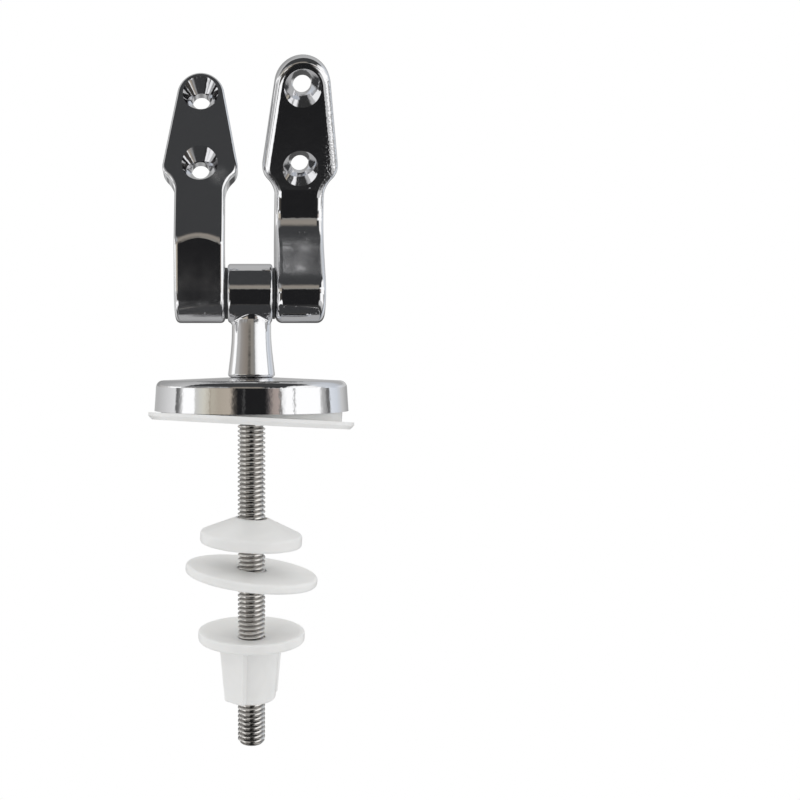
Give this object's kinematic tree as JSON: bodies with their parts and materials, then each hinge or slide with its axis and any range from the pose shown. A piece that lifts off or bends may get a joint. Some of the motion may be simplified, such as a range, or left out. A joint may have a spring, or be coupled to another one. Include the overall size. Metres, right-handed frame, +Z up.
{
  "type": "toilet seat hinge",
  "caption": "Chromed hinge for a toilet seat and lid: screw-on arms swing on a pillar over a base cup, clamped to the bowl by a threaded stud, gasket, washers and hand nut.",
  "frame": {"origin": "on the stud's axis, level with the rim of the base cup", "axes": "+Z up the stud, +X to the right of somebody facing the bowl, -Y towards them; the arms stand raised"},
  "size_m": [0.0443, 0.0443, 0.1458],
  "materials": {
    "chrome": "bright chrome plate on cast metal",
    "steel": "rolled stainless thread, bright",
    "dark_plastic": "moulded, dark grey",
    "white_plastic": "moulded, satin white, slightly translucent"
  },
  "bodies": {
    "pillar": {"pillar": "chrome", "base_cup": "chrome", "hinge_pin": "steel", "stud": "steel", "gasket": "white_plastic", "cone_washer": "white_plastic", "flat_washer": "white_plastic"},
    "seat_arm": {"seat_arm": "chrome", "seat_arm_bush": "dark_plastic"},
    "lid_arm": {"lid_arm": "chrome", "lid_arm_bush": "dark_plastic"},
    "hand_nut": {"hand_nut": "white_plastic"}
  },
  "joints": [
    {"name": "seat_swing", "type": "hinge", "parent": "pillar", "child": "seat_arm", "pos_m": [0, 0, 0.02505], "axis": [1, 0, 0], "range_deg": [-8, 105]},
    {"name": "lid_swing", "type": "hinge", "parent": "pillar", "child": "lid_arm", "pos_m": [0, 0, 0.02505], "axis": [1, 0, 0], "range_deg": [-45, 60]},
    {"name": "nut_travel", "type": "slide", "parent": "pillar", "child": "hand_nut", "axis": [0, 0, 1], "range_m": [-0.01, 0.009]}
  ]
}
